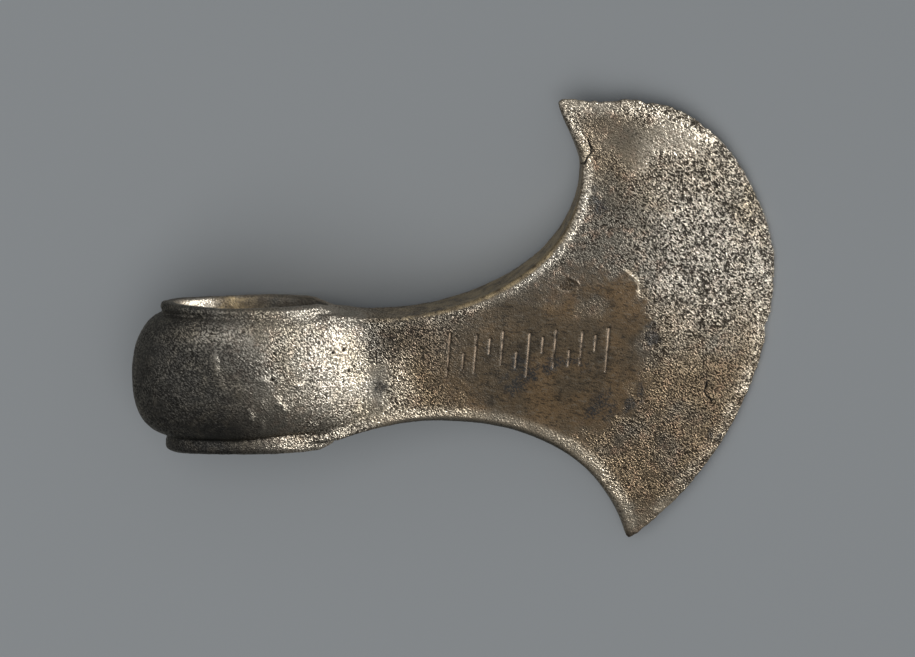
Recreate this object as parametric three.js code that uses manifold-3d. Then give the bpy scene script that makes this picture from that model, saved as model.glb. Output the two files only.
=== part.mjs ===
// A shaft-hole axe head, cast in bronze in one piece and lying on its side: an oval socket with a
// collar round each mouth, a neck that flares out of it, and a fan-shaped blade with a worn edge.
// Millimetres, +Z up, on the surface z = 0.
//
// The head is drawn in its own frame and tipped into its resting place at the end. There, the
// origin is the middle of the shaft hole, X runs to the cutting edge, Y runs along the hole to the
// side of the longer wing, and Z runs across the blade.
import * as THREE from "three";
import { mergeVertices } from "three/addons/utils/BufferGeometryUtils.js";
import Module from "manifold-3d";

const wasm = await Module();
wasm.setup();

// Socket. Lengths are along X and widths along Z.
const socketTop = 17.3;
const socketFoot = -14.8;
const topCollarHeight = 2.0;
const footCollarHeight = 3.4;
const topCollarLength = 39.6;
const footCollarLength = 36.6;
const barrelLength = 52.2;
const barrelTopPowers = [2.2, 0.62]; // of the bulge towards each mouth: [fullness, roundness]
const barrelFootPowers = [2.6, 0.5];
const socketOval = 0.63; // width of the socket over its length
const lipRound = 0.9;
const grooveDepth = 0.4;
const holeTopLength = 33.0;
const holeFootLength = 32.0;
const holeOval = 0.59;

// Neck and blade.
const neckStart = 6; // inside the socket, where the blade's body begins
const rootThickness = 18.8;
const rootShare = 0.2; // of the blade's length, before it starts to taper
const bevelThickness = 3.2; // where the taper ends and the edge bevel begins
const bevelShare = 0.05; // of the blade's length
const edgeThickness = 1.4;
const taperPower = 1.15;
const hollowDepth = 0.6; // of each face, between its raised sides
const raisedSideWidth = 3.2;
const cornerRound = 0.8;
const flareReach = 5; // of the fillet between neck and socket
const socketInset = 0.12; // keeps the flare under the socket's skin until it leaves it

// Strokes cut in the face that lies up.
const strokeDepth = 0.4;
const strokeWidth = 1.4;
const strokeTail = 0.3; // width of a stroke's tail over its head
const strokeRowStart = 42.6;
const strokePitch = 5.9;
const strokeRowTop = 10.6;
const tallStrokes = 7;
const strokeLean = 0.08; // radians from upright, the same for every stroke

// Resting place.
const socketWear = 0.4; // height worn off the socket where it rests
const edgeWearDown = 0.15; // and off the lowest part of the edge
const CUTTER = 400; // longer than the head

const segments = { socket: 56, barrel: 16, stations: 30, face: 40 };

const lowerSide = new THREE.Path()
  .moveTo(neckStart, -13.4)
  .lineTo(18.2, -12.3)
  .bezierCurveTo(40.7, -3.5, 76.5, -10, 83, -37.2);

const upperSide = new THREE.Path()
  .moveTo(neckStart, 14.4)
  .lineTo(28, 14.4)
  .bezierCurveTo(47, 14.4, 72.4, 24.2, 72.4, 46)
  .bezierCurveTo(72.4, 50.5, 68.2, 55.5, 67.2, 60.6);

const cuttingEdge = new THREE.Path()
  .moveTo(83, -37.2)
  .bezierCurveTo(103.8, -23.9, 115.7, 0.6, 115.7, 23)
  .bezierCurveTo(115.7, 31.5, 108.7, 50.6, 96, 57)
  .bezierCurveTo(89, 61.3, 78.9, 60.7, 67.2, 60.6);

function mix(a, b, share) {
  return new THREE.Vector2().lerpVectors(a, b, share);
}

// How far the worn edge is eaten back at share v of its length, more in its upper half.
function edgeWear(v) {
  const ripple = Math.sin(47 * v) + Math.sin(71 * v + 1) + Math.sin(103 * v + 2);
  const ends = Math.min(1, 12 * v, 12 * (1 - v));
  return ends * THREE.MathUtils.lerp(0.07, 0.17, v) * (1.2 - ripple);
}

function edgePoint(v) {
  const out = cuttingEdge.getTangentAt(v);
  return cuttingEdge
    .getPointAt(v)
    .addScaledVector(new THREE.Vector2(out.y, -out.x), -edgeWear(v));
}

// A point of the blade's middle plane, at share u of the way to the edge and v of the way up: the
// surface that the two sides, the cutting edge and an upright line in the socket bound.
function bladePoint(u, v) {
  const start = mix(lowerSide.getPointAt(0), upperSide.getPointAt(0), v);
  const chord = mix(edgePoint(0), edgePoint(1), v);
  const across = mix(lowerSide.getPointAt(u), upperSide.getPointAt(u), v);
  return mix(start, edgePoint(v), u).add(across).sub(mix(start, chord, u));
}

// Half the socket's length at height y.
function socketRadius(y) {
  const barrelTop = socketTop - topCollarHeight;
  const barrelFoot = socketFoot + footCollarHeight;
  const middle = (barrelTop + barrelFoot) / 2;
  const height = (barrelTop - barrelFoot) / 2;
  const share = THREE.MathUtils.clamp((y - middle) / height, -1, 1);
  const collar = (share > 0 ? topCollarLength : footCollarLength) / 2 - grooveDepth;
  const [fullness, roundness] = share > 0 ? barrelTopPowers : barrelFootPowers;
  const bulge = (1 - Math.abs(share) ** fullness) ** roundness;
  return THREE.MathUtils.lerp(collar, barrelLength / 2, bulge);
}

function socketHalfWidth(x, y) {
  const radius = socketRadius(y);
  return socketOval * Math.sqrt(Math.max(0, radius * radius - x * x));
}

function smoothMax(a, b, reach) {
  const near = Math.max(reach - Math.abs(a - b), 0);
  return Math.max(a, b) + (near * near) / (4 * reach);
}

// Half the blade's thickness at share u of its length, toSide millimetres from its nearer side.
function wedgeHalfThickness(u, toSide) {
  const taper = THREE.MathUtils.clamp((u - rootShare) / (1 - bevelShare - rootShare), 0, 1);
  const bevel = Math.max(0, (u - 1 + bevelShare) / bevelShare);
  const wedge = THREE.MathUtils.lerp(rootThickness, bevelThickness, taper ** taperPower);
  const full = THREE.MathUtils.lerp(wedge, edgeThickness, bevel) / 2;
  const hollow = hollowDepth * Math.sqrt(Math.sin(Math.PI * Math.min(u, 1 - 1e-6)));
  return full - hollow * (1 - Math.exp(-((toSide / raisedSideWidth) ** 2)));
}

// Shares v of the face's steps, closer together towards the two sides.
function faceShare(step) {
  const even = step / segments.face;
  return even - 0.09 * Math.sin(2 * Math.PI * even);
}

function stationShare(step) {
  const even = step / segments.stations;
  return even + 0.05 * Math.sin(Math.PI * even);
}

// One ring of points round the blade at share u, and the half thickness at each.
function bladeStation(u) {
  const low = bladePoint(u, 0);
  const high = bladePoint(u, 1);
  const height = low.distanceTo(high);
  const front = [];
  for (let step = 0; step <= segments.face; step++) {
    const v = faceShare(step);
    const point = bladePoint(u, v);
    const toSide = Math.min(v, 1 - v) * height;
    const wedge = wedgeHalfThickness(u, toSide);
    const socket = socketHalfWidth(point.x, point.y) - socketInset;
    const reach = flareReach * THREE.MathUtils.smoothstep(point.x, 8, 18) + 1e-3;
    front.push({ point, half: smoothMax(socket, wedge, reach) });
  }
  // The corners are taken off: the outermost points drop, and their neighbours stay at full height.
  const round = Math.min(cornerRound, 0.5 * front[0].half);
  const inward = round / height;
  const first = { point: bladePoint(u, inward), half: front[0].half };
  const last = { point: bladePoint(u, 1 - inward), half: front.at(-1).half };
  front[0].half -= round;
  front.at(-1).half -= round;
  front.splice(1, 0, first);
  front.splice(-1, 0, last);
  const ring = front.map(({ point, half }) => new THREE.Vector3(point.x, point.y, half));
  const back = front.map(({ point, half }) => new THREE.Vector3(point.x, point.y, -half));
  return ring.concat(back.reverse());
}

// A closed mesh through rings of equal size, each the front points and then the back points.
function loft(rings) {
  const size = rings[0].length;
  const positions = rings.flat().flatMap((p) => p.toArray());
  const index = [];
  for (let ring = 0; ring + 1 < rings.length; ring++) {
    for (let k = 0; k < size; k++) {
      const a = ring * size + k;
      const b = ring * size + ((k + 1) % size);
      index.push(a, a + size, b, b, a + size, b + size);
    }
  }
  for (const [ring, turned] of [[0, true], [rings.length - 1, false]]) {
    for (let k = 0; k + 1 < size / 2; k++) {
      const corners = [k, k + 1, size - 1 - k, size - 2 - k].map((at) => ring * size + at);
      const [a, b, c, d] = corners;
      if (turned) index.push(a, b, c, b, d, c);
      else index.push(a, c, b, b, c, d);
    }
  }
  const geometry = new THREE.BufferGeometry();
  geometry.setAttribute("position", new THREE.Float32BufferAttribute(positions, 3));
  geometry.setIndex(index);
  return geometry;
}

function toSolid(geometry) {
  const bare = geometry.clone().deleteAttribute("normal").deleteAttribute("uv");
  const merged = mergeVertices(bare, 1e-4);
  return new wasm.Manifold(
    new wasm.Mesh({
      numProp: 3,
      vertProperties: merged.attributes.position.array,
      triVerts: new Uint32Array(merged.index.array),
    }),
  );
}

function toGeometry(solid) {
  const mesh = solid.getMesh();
  const geometry = new THREE.BufferGeometry();
  geometry.setAttribute("position", new THREE.BufferAttribute(mesh.vertProperties, 3));
  geometry.setIndex(new THREE.BufferAttribute(mesh.triVerts, 1));
  geometry.computeVertexNormals();
  return geometry;
}

// An oval turned body on the Y axis from its profile, a list of [half length, height].
function ovalTurned(profile, oval) {
  const points = profile.map(([radius, y]) => new THREE.Vector2(radius, y));
  return toSolid(new THREE.LatheGeometry(points, segments.socket).scale(1, 1, oval));
}

function makeSocket() {
  const top = topCollarLength / 2;
  const foot = footCollarLength / 2;
  const barrelTop = socketTop - topCollarHeight;
  const barrelFoot = socketFoot + footCollarHeight;
  const profile = [
    [0, socketFoot],
    [foot - lipRound, socketFoot],
    [foot - 0.3 * lipRound, socketFoot + 0.3 * lipRound],
    [foot, socketFoot + lipRound],
    [foot, barrelFoot - grooveDepth],
  ];
  for (let step = 0; step <= segments.barrel; step++) {
    const angle = Math.PI * (step / segments.barrel);
    const y = THREE.MathUtils.lerp(barrelFoot, barrelTop, (1 - Math.cos(angle)) / 2);
    profile.push([socketRadius(y), y]);
  }
  profile.push(
    [top, barrelTop + grooveDepth],
    [top, socketTop - lipRound],
    [top - 0.3 * lipRound, socketTop - 0.3 * lipRound],
    [top - lipRound, socketTop],
    [0, socketTop],
  );
  return ovalTurned(profile, socketOval);
}

function makeHole() {
  const past = 2; // beyond each mouth
  const profile = [
    [0, socketFoot - past],
    [holeFootLength / 2, socketFoot - past],
    [holeTopLength / 2, socketTop + past],
    [0, socketTop + past],
  ];
  return ovalTurned(profile, holeOval);
}

const stations = [];
for (let step = 0; step <= segments.stations; step++) {
  stations.push(bladeStation(stationShare(step)));
}

// The point of the face that lies up at (x, y).
function onFace(x, y) {
  const ray = new THREE.Raycaster(new THREE.Vector3(x, y, CUTTER), new THREE.Vector3(0, 0, -1));
  return ray.intersectObject(bladeMesh)[0].point;
}

// A wedge-shaped stroke from its head at (x, y) to a thin tail.
function makeStroke({ x, y, length }) {
  const head = onFace(x, y);
  const tail = onFace(x - length * Math.sin(strokeLean), y - length * Math.cos(strokeLean));
  const along = new THREE.Vector3().subVectors(head, tail);
  const radius = strokeWidth / 2;
  const cutter = new THREE.CylinderGeometry(radius, strokeTail * radius, along.length(), 4);
  cutter.scale(1, 1, strokeDepth / radius);
  const turn = new THREE.Quaternion().setFromUnitVectors(
    new THREE.Vector3(0, 1, 0),
    along.clone().normalize(),
  );
  cutter.applyQuaternion(turn);
  cutter.translate(...head.add(tail).multiplyScalar(0.5).toArray());
  return toSolid(cutter);
}

// A row of tall strokes with a short one, high or low, between each two.
function strokeRow() {
  const strokes = [];
  for (let k = 0; k < tallStrokes; k++) {
    const x = strokeRowStart + k * strokePitch;
    const y = strokeRowTop - 0.5 * (k % 2);
    strokes.push({ x, y, length: 9.4 - 1.2 * (k % 3) });
    if (k === tallStrokes - 1) break;
    const short = { x: x + strokePitch / 2, y: y - 1, length: 3.2 };
    if (k % 2 === 0) short.y -= 3.6;
    strokes.push(short);
  }
  return strokes;
}

// How far below the shaft hole's axis the surface lies when the head is tipped by an angle.
function socketDrop(angle) {
  const length = (barrelLength / 2) * Math.sin(angle);
  const width = ((socketOval * barrelLength) / 2) * Math.cos(angle);
  return Math.hypot(length, width) - socketWear;
}

// The angle at which the head rests on its edge and its socket.
function restTilt() {
  const reach = Math.max(...stations.at(-1).map((p) => p.x));
  let angle = 0;
  for (let pass = 0; pass < 6; pass++) {
    const edge = (edgeThickness / 2) * Math.cos(angle);
    angle = Math.asin((socketDrop(angle) + edgeWearDown - edge) / reach);
  }
  return angle;
}

const tilt = restTilt();

function makeGroundCutter() {
  const ground = new THREE.BoxGeometry(CUTTER, CUTTER, CUTTER);
  ground.translate(0, 0, -socketDrop(tilt) - CUTTER / 2);
  ground.rotateY(-tilt);
  return toSolid(ground);
}

const blade = loft(stations);
const bladeMesh = new THREE.Mesh(blade);
let head = makeSocket().add(toSolid(blade)).subtract(makeHole());
for (const stroke of strokeRow()) head = head.subtract(makeStroke(stroke));
head = head.subtract(makeGroundCutter());

const bronze = new THREE.MeshStandardMaterial({ color: 0x7a6a52, roughness: 0.5, metalness: 0.8 });
const axeHead = new THREE.Mesh(toGeometry(head), bronze);
axeHead.name = "axe_head";
axeHead.rotation.y = tilt;

// The part's origin is the middle of its footprint on the surface.
const group = new THREE.Group();
group.add(axeHead);
const bounds = new THREE.Box3().setFromObject(group, true);
const middle = bounds.getCenter(new THREE.Vector3());
axeHead.position.set(-middle.x, -middle.y, -bounds.min.z);

export default group;
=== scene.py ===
"""A cast bronze shaft-hole axe head, lying on its side: socket, neck and blade in one casting.

The head's form is drawn as a field of distances and meshed finely, then worn, pitted and cut point
by point, and laid where the frame's solid lies. Form and relief are drawn in the head's own frame,
in millimetres: the origin is the middle of the shaft hole, X runs to the cutting edge, Y along the
hole to the side of the longer wing, and Z across the blade to the face with the strokes.
"""

import logging
import math
from dataclasses import dataclass, field
from enum import Enum

import bmesh
import bpy
import numpy as np
from mathutils import Matrix, Vector


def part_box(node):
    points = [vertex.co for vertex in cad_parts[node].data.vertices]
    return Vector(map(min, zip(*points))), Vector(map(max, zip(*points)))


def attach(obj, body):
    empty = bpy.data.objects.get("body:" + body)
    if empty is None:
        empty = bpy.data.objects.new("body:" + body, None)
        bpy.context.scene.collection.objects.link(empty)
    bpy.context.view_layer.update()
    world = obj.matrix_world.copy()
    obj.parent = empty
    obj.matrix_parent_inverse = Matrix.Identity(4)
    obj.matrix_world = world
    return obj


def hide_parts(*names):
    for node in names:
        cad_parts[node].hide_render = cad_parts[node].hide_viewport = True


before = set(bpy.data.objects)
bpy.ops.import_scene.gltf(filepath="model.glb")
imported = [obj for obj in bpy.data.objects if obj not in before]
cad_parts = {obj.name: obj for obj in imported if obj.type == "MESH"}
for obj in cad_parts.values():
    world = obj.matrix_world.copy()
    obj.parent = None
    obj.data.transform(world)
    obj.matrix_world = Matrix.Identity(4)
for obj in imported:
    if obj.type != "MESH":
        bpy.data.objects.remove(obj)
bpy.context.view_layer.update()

log = logging.getLogger("axe_head")

Array = np.ndarray
Point = tuple[float, float]
Curve = tuple[Point, Point, Point, Point]
MM = 0.001


# ---------------------------------------------------------------- numbers and noise


def ramp(low: float | Array, high: float, value: Array) -> Array:
    """Rise smoothly from 0 at low to 1 at high; low may be the larger.

    Args:
        low: value at which the ramp is 0.
        high: value at which the ramp is 1.
        value: where to read it.

    Returns:
        The ramp's height at each value.
    """
    share = np.clip((value - low) / (high - low), 0.0, 1.0)
    return share * share * (3.0 - 2.0 * share)


def blend_min(a: Array, b: Array, reach: Array | float) -> Array:
    """Join two distances, with a fillet where they are within reach of each other.

    Args:
        a: first distance.
        b: second distance.
        reach: how far apart they may be and still blend.

    Returns:
        The joined distance.
    """
    near = np.maximum(reach - np.abs(a - b), 0.0)
    return np.minimum(a, b) - near * near / (4.0 * reach)


def blend_max(a: Array, b: Array, reach: Array | float) -> Array:
    """Cut one distance with another, with an eased edge.

    Args:
        a: first distance.
        b: second distance.
        reach: how far apart they may be and still blend.

    Returns:
        The cut distance.
    """
    return -blend_min(-a, -b, reach)


def eased_corner(side: Array, face: Array, ease: float | Array) -> Array:
    """Distance to the inside of two surfaces that meet in an eased corner.

    Args:
        side: distance to the first surface.
        face: distance to the second surface.
        ease: radius of the corner.

    Returns:
        The distances.
    """
    side, face = side + ease, face + ease
    corner = np.hypot(np.maximum(side, 0.0), np.maximum(face, 0.0))
    return corner + np.minimum(np.maximum(side, face), 0.0) - ease


def oval_radius(x: Array, z: Array, oval: float) -> tuple[Array, Array]:
    """Measure from the middle of an oval, along X.

    Args:
        x: coordinates along its length.
        z: coordinates across it.
        oval: its width for a length of 1.

    Returns:
        Half the length of the oval through each place, and how fast that grows there.
    """
    radius = np.sqrt(x * x + (z / oval) ** 2) + 1e-6
    return radius, np.sqrt(x * x + z * z / oval**4) / radius + 1e-6


def bell(value: Array, middle: float = 0.0, width: float = 1.0) -> Array:
    """Rise to 1 at the middle and fall away on both sides.

    Args:
        value: where to read it.
        middle: the value at which it is 1.
        width: how far from there it has fallen to about a third.

    Returns:
        Its height at each value.
    """
    return np.exp(-(((value - middle) / width) ** 2))


def lattice_hash(cell: Array, seed: int) -> Array:
    """Draw a repeatable random number for each lattice point.

    Args:
        cell: whole-number coordinates, n by 3.
        seed: chooses the draw.

    Returns:
        Unsigned 32-bit numbers, one for each row.
    """
    parts = cell.astype(np.int64).astype(np.uint32)
    mixed = parts[:, 0] * np.uint32(0x9E3779B1)
    mixed ^= parts[:, 1] * np.uint32(0x85EBCA77)
    mixed ^= parts[:, 2] * np.uint32(0xC2B2AE3D)
    mixed ^= np.uint32((seed * 0x27D4EB2F) & 0xFFFFFFFF)
    for shift, factor in ((15, 0x2C1B3C6D), (12, 0x297A2D39), (15, 0x1)):
        mixed ^= mixed >> np.uint32(shift)
        mixed *= np.uint32(factor)
    return mixed


def unit(draw: Array) -> Array:
    """Turn a drawn number into one between 0 and 1."""
    return draw.astype(np.float64) / 4294967296.0


def noise(points: Array, size: float | tuple[float, float, float], seed: int) -> Array:
    """Read smooth gradient noise.

    Args:
        points: n by 3 positions.
        size: wavelength, the same in every direction or one for each axis.
        seed: chooses the pattern.

    Returns:
        Values from about -1 to 1.
    """
    scaled = points / np.asarray(size)
    low = np.floor(scaled)
    inside = scaled - low
    fade = inside**3 * (inside * (inside * 6.0 - 15.0) + 10.0)
    total = np.zeros(len(points))
    for corner in np.ndindex(2, 2, 2):
        step = np.array(corner)
        draw = lattice_hash(low + step, seed)
        angle = unit(draw) * 2.0 * math.pi
        rise = unit(draw * np.uint32(0x9E3779B1)) * 2.0 - 1.0
        flat = np.sqrt(1.0 - rise * rise)
        offset = inside - step
        slope = flat * (np.cos(angle) * offset[:, 0] + np.sin(angle) * offset[:, 1])
        slope += rise * offset[:, 2]
        weight = np.prod(np.where(step == 1, fade, 1.0 - fade), axis=1)
        total += weight * slope
    return total * 1.6


def cell_spots(points: Array, size: float, seed: int) -> tuple[Array, Array]:
    """Scatter one spot in each cell of a lattice and measure to the nearest.

    Args:
        points: n by 3 positions.
        size: side of a cell.
        seed: chooses the scatter.

    Returns:
        The distance to the nearest spot, in the points' unit, and that spot's own number, 0 to 1.
    """
    scaled = points / size
    low = np.floor(scaled)
    nearest = np.full(len(points), 9.0)
    name = np.zeros(len(points))
    for corner in np.ndindex(3, 3, 3):
        cell = low + np.array(corner) - 1.0
        draw = lattice_hash(cell, seed)
        spot = cell + np.stack(
            [unit(draw), unit(draw * np.uint32(0x85EBCA77)), unit(draw * np.uint32(0xC2B2AE3D))],
            axis=1,
        )
        away = np.linalg.norm(scaled - spot, axis=1)
        closer = away < nearest
        nearest[closer] = away[closer]
        name[closer] = unit(draw * np.uint32(0x27D4EB2F))[closer]
    return nearest * size, name


# ---------------------------------------------------------------- curves and maps


def bezier(curve: Curve, count: int = 120) -> Array:
    """Sample a cubic curve.

    Args:
        curve: its first point, the handles that it leaves and arrives by, and its last point.
        count: how many points to return.

    Returns:
        The points, count by 2.
    """
    t = np.linspace(0.0, 1.0, count)[:, None]
    a, b, c, d = (np.array(point, float) for point in curve)
    return (1 - t) ** 3 * a + 3 * (1 - t) ** 2 * t * b + 3 * (1 - t) * t * t * c + t**3 * d


def by_length(path: Array, count: int) -> Array:
    """Space a path's points evenly along its length.

    Args:
        path: the path's points in order, n by 2.
        count: how many points to return.

    Returns:
        The new points, count by 2.
    """
    steps = np.linalg.norm(np.diff(path, axis=0), axis=1)
    along = np.concatenate([[0.0], np.cumsum(steps)])
    at = np.linspace(0.0, along[-1], count)
    return np.stack([np.interp(at, along, path[:, k]) for k in (0, 1)], axis=1)


def nearest_on(path: Array, x: Array, y: Array) -> tuple[Array, Array]:
    """Measure from places to a path.

    Args:
        path: closely spaced points, n by 2.
        x: places' first coordinate, flat.
        y: places' second coordinate, flat.

    Returns:
        Distance to the path, and how far along it the nearest point is, from 0 to 1.
    """
    away = np.empty(len(x))
    share = np.empty(len(x))
    for start in range(0, len(x), 8000):
        part = slice(start, start + 8000)
        dx = x[part, None] - path[None, :, 0]
        dy = y[part, None] - path[None, :, 1]
        square = dx * dx + dy * dy
        best = square.argmin(axis=1)
        away[part] = np.sqrt(square[np.arange(len(best)), best])
        share[part] = best / (len(path) - 1)
    return away, share


def within(outline: Array, x: Array, y: Array) -> Array:
    """Tell which places lie inside a closed outline.

    Args:
        outline: its corners in order, n by 2.
        x: places' first coordinate, flat.
        y: places' second coordinate, flat.

    Returns:
        True for each place inside.
    """
    inside = np.zeros(len(x), bool)
    for (x0, y0), (x1, y1) in zip(outline, np.roll(outline, -1, axis=0)):
        if y0 == y1:
            continue
        crosses = (y0 > y) != (y1 > y)
        inside ^= crosses & (x < (x1 - x0) * (y - y0) / (y1 - y0) + x0)
    return inside


@dataclass
class Map:
    """A flat sheet of numbers over X and Y, read between its points.

    Attributes:
        x0: first coordinate of the sheet's first point.
        y0: second coordinate of the sheet's first point.
        step: spacing of its points.
        values: the numbers, by X and then Y.
    """

    x0: float
    y0: float
    step: float
    values: Array

    def read(self, x: Array, y: Array) -> Array:
        """Read the sheet at places.

        Args:
            x: places' first coordinate.
            y: places' second coordinate.

        Returns:
            The sheet's value at each.
        """
        u = np.clip((x - self.x0) / self.step, 0, self.values.shape[0] - 1.001)
        v = np.clip((y - self.y0) / self.step, 0, self.values.shape[1] - 1.001)
        i, j = u.astype(int), v.astype(int)
        u, v = u - i, v - j
        rows = self.values
        low = rows[i, j] * (1 - u) + rows[i + 1, j] * u
        high = rows[i, j + 1] * (1 - u) + rows[i + 1, j + 1] * u
        return low * (1 - v) + high * v

    def over(self, x: Array, y: Array) -> Array:
        """Read the sheet over a lattice, the same at every Z."""
        return self.read(*np.broadcast_arrays(x[:, :, 0], y[:, :, 0]))[:, :, None]


def surface_net(values: Array, origin: Array, step: float) -> tuple[Array, Array]:
    """Mesh the zero surface of a field with four-sided faces.

    Args:
        values: the field on a lattice, negative inside.
        origin: place of the lattice's first point.
        step: spacing of the lattice.

    Returns:
        Points, n by 3, and faces, m by 4, that face outwards.
    """
    inside = values < 0.0
    shape = np.array(values.shape) - 1
    count = np.zeros(shape, np.int8)
    for i, j, k in np.ndindex(2, 2, 2):
        count += inside[i : shape[0] + i, j : shape[1] + j, k : shape[2] + k]
    cells = np.argwhere((count > 0) & (count < 8))
    number = np.full(shape, -1, np.int32)
    number[tuple(cells.T)] = np.arange(len(cells))
    corner = {
        at: values[cells[:, 0] + at[0], cells[:, 1] + at[1], cells[:, 2] + at[2]]
        for at in np.ndindex(2, 2, 2)
    }
    total = np.zeros((len(cells), 3))
    crossings = np.zeros(len(cells))
    for axis in range(3):
        for a, b in np.ndindex(2, 2):
            near = [a, b]
            near.insert(axis, 0)
            far = list(near)
            far[axis] = 1
            v0, v1 = corner[tuple(near)], corner[tuple(far)]
            hit = (v0 < 0.0) != (v1 < 0.0)
            place = np.tile(np.array(near, float), (int(hit.sum()), 1))
            place[:, axis] = v0[hit] / (v0[hit] - v1[hit])
            total[hit] += place
            crossings[hit] += 1
    points = origin + (cells + total / crossings[:, None]) * step
    faces = []
    for axis in range(3):
        first = [slice(None)] * 3
        second = [slice(None)] * 3
        first[axis], second[axis] = slice(None, -1), slice(1, None)
        start, end = inside[tuple(first)], inside[tuple(second)]
        edges = np.argwhere(start != end)
        u, v = (axis + 1) % 3, (axis + 2) % 3
        clear = (edges[:, u] > 0) & (edges[:, v] > 0)
        clear &= (edges[:, u] < shape[u]) & (edges[:, v] < shape[v])
        edges = edges[clear]
        ring = []
        for du, dv in ((1, 1), (0, 1), (0, 0), (1, 0)):
            cell = edges.copy()
            cell[:, u] -= du
            cell[:, v] -= dv
            ring.append(number[tuple(cell.T)])
        quads = np.stack(ring, axis=1)
        turned = ~start[tuple(edges.T)]
        quads[turned] = quads[turned][:, ::-1]
        faces.append(quads)
    return points, np.concatenate(faces)


def open_corners(faces: Array) -> Array:
    """List the points at edges that don't lie between exactly two faces.

    Args:
        faces: four corners each, of which some may repeat.

    Returns:
        The numbers of the points, each once.
    """
    start, end = faces.ravel(), np.roll(faces, -1, axis=1).ravel()
    real = start != end
    pairs = np.sort(np.stack([start[real], end[real]], axis=1), axis=1)
    pairs, uses = np.unique(pairs, axis=0, return_counts=True)
    return np.unique(pairs[uses != 2])


def merge_blocks(points: Array, faces: Array, coarse: Array, size: float) -> tuple[Array, Array]:
    """Merge the points that share a block, where a coarser mesh is enough.

    Args:
        points: the mesh's points, n by 3.
        faces: its four-sided faces.
        coarse: True for the points that may merge, unless the mesh would no longer be closed.
        size: side of a block.

    Returns:
        The points that are left, and the faces, which may repeat a corner.
    """
    for _ in range(8):
        blocks = np.floor(points[coarse] / size).astype(np.int64)
        _, group = np.unique(blocks, axis=0, return_inverse=True)
        group = group.ravel()
        number = np.bincount(group)
        means = [np.bincount(group, points[coarse, k]) / number for k in range(3)]
        target = np.empty(len(points), np.int64)
        kept = np.count_nonzero(~coarse)
        target[~coarse] = np.arange(kept)
        target[coarse] = kept + group
        left = target[faces]
        sides = (left != np.roll(left, -1, axis=1)).sum(axis=1)
        crossed = (left[:, 0] == left[:, 2]) | (left[:, 1] == left[:, 3])
        left = left[(sides > 2) & ~crossed]
        merged = np.concatenate([points[~coarse], np.stack(means, axis=1)])
        torn = open_corners(left)
        if len(torn) == 0:
            break
        coarse = coarse & ~np.isin(target, torn)
    return merged, left


# ---------------------------------------------------------------- the head's form


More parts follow.
